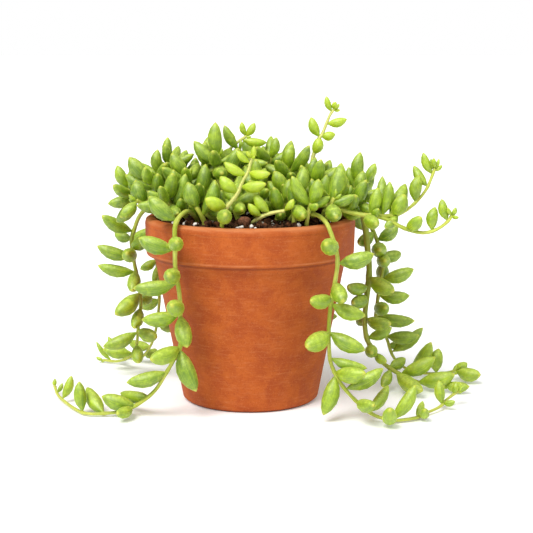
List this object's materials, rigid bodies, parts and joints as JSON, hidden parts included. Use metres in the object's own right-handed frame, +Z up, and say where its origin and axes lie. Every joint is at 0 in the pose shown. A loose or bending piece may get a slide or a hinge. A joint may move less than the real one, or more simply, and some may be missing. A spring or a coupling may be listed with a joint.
{
  "type": "potted string of bananas",
  "caption": "Trailing succulent with banana-shaped leaves, growing in a filled round clay pot that stands on a flat surface.",
  "frame": {"origin": "below the middle of the whole plant's box, on the surface that the pot stands on", "axes": "+Z up, +X to the viewer's right across the widest spread of the trailing stems, -Y towards the viewer"},
  "size_m": [0.233, 0.1602, 0.159],
  "materials": {
    "terracotta": "matte unglazed clay",
    "potting_soil": "rough crumbs",
    "leaf": "smooth waxy skin",
    "young_leaf": "smooth waxy skin"
  },
  "bodies": {
    "root": {"pot": "terracotta", "soil": "potting_soil", "string_front_left": "leaf", "string_front_right": "leaf", "string_arching": "leaf", "string_right": "leaf", "string_right_back": "leaf", "string_left": "leaf", "string_left_back": "leaf", "sprout_tall": "young_leaf", "sprout_back": "young_leaf", "sprout_front": "young_leaf", "sprout_low": "young_leaf", "tuft_01": "leaf", "tuft_02": "leaf", "tuft_03": "leaf", "tuft_04": "leaf", "tuft_05": "leaf", "tuft_06": "leaf", "tuft_07": "leaf", "tuft_08": "leaf", "tuft_09": "leaf", "tuft_10": "leaf", "tuft_11": "leaf", "tuft_12": "leaf", "tuft_13": "leaf", "tuft_14": "leaf", "tuft_15": "leaf", "tuft_16": "leaf", "tuft_17": "leaf", "tuft_18": "leaf", "tuft_19": "leaf", "tuft_20": "leaf", "tuft_21": "leaf", "tuft_22": "leaf", "tuft_23": "leaf", "tuft_24": "leaf", "tuft_25": "leaf", "tuft_26": "leaf", "tuft_27": "leaf", "tuft_back_01": "leaf", "tuft_back_02": "leaf", "tuft_back_03": "leaf", "tuft_back_04": "leaf", "tuft_back_05": "leaf", "tuft_back_06": "leaf", "tuft_back_07": "leaf", "tuft_back_08": "leaf", "string_back_1": "leaf", "string_back_2": "leaf", "string_back_3": "leaf"}
  },
  "joints": []
}
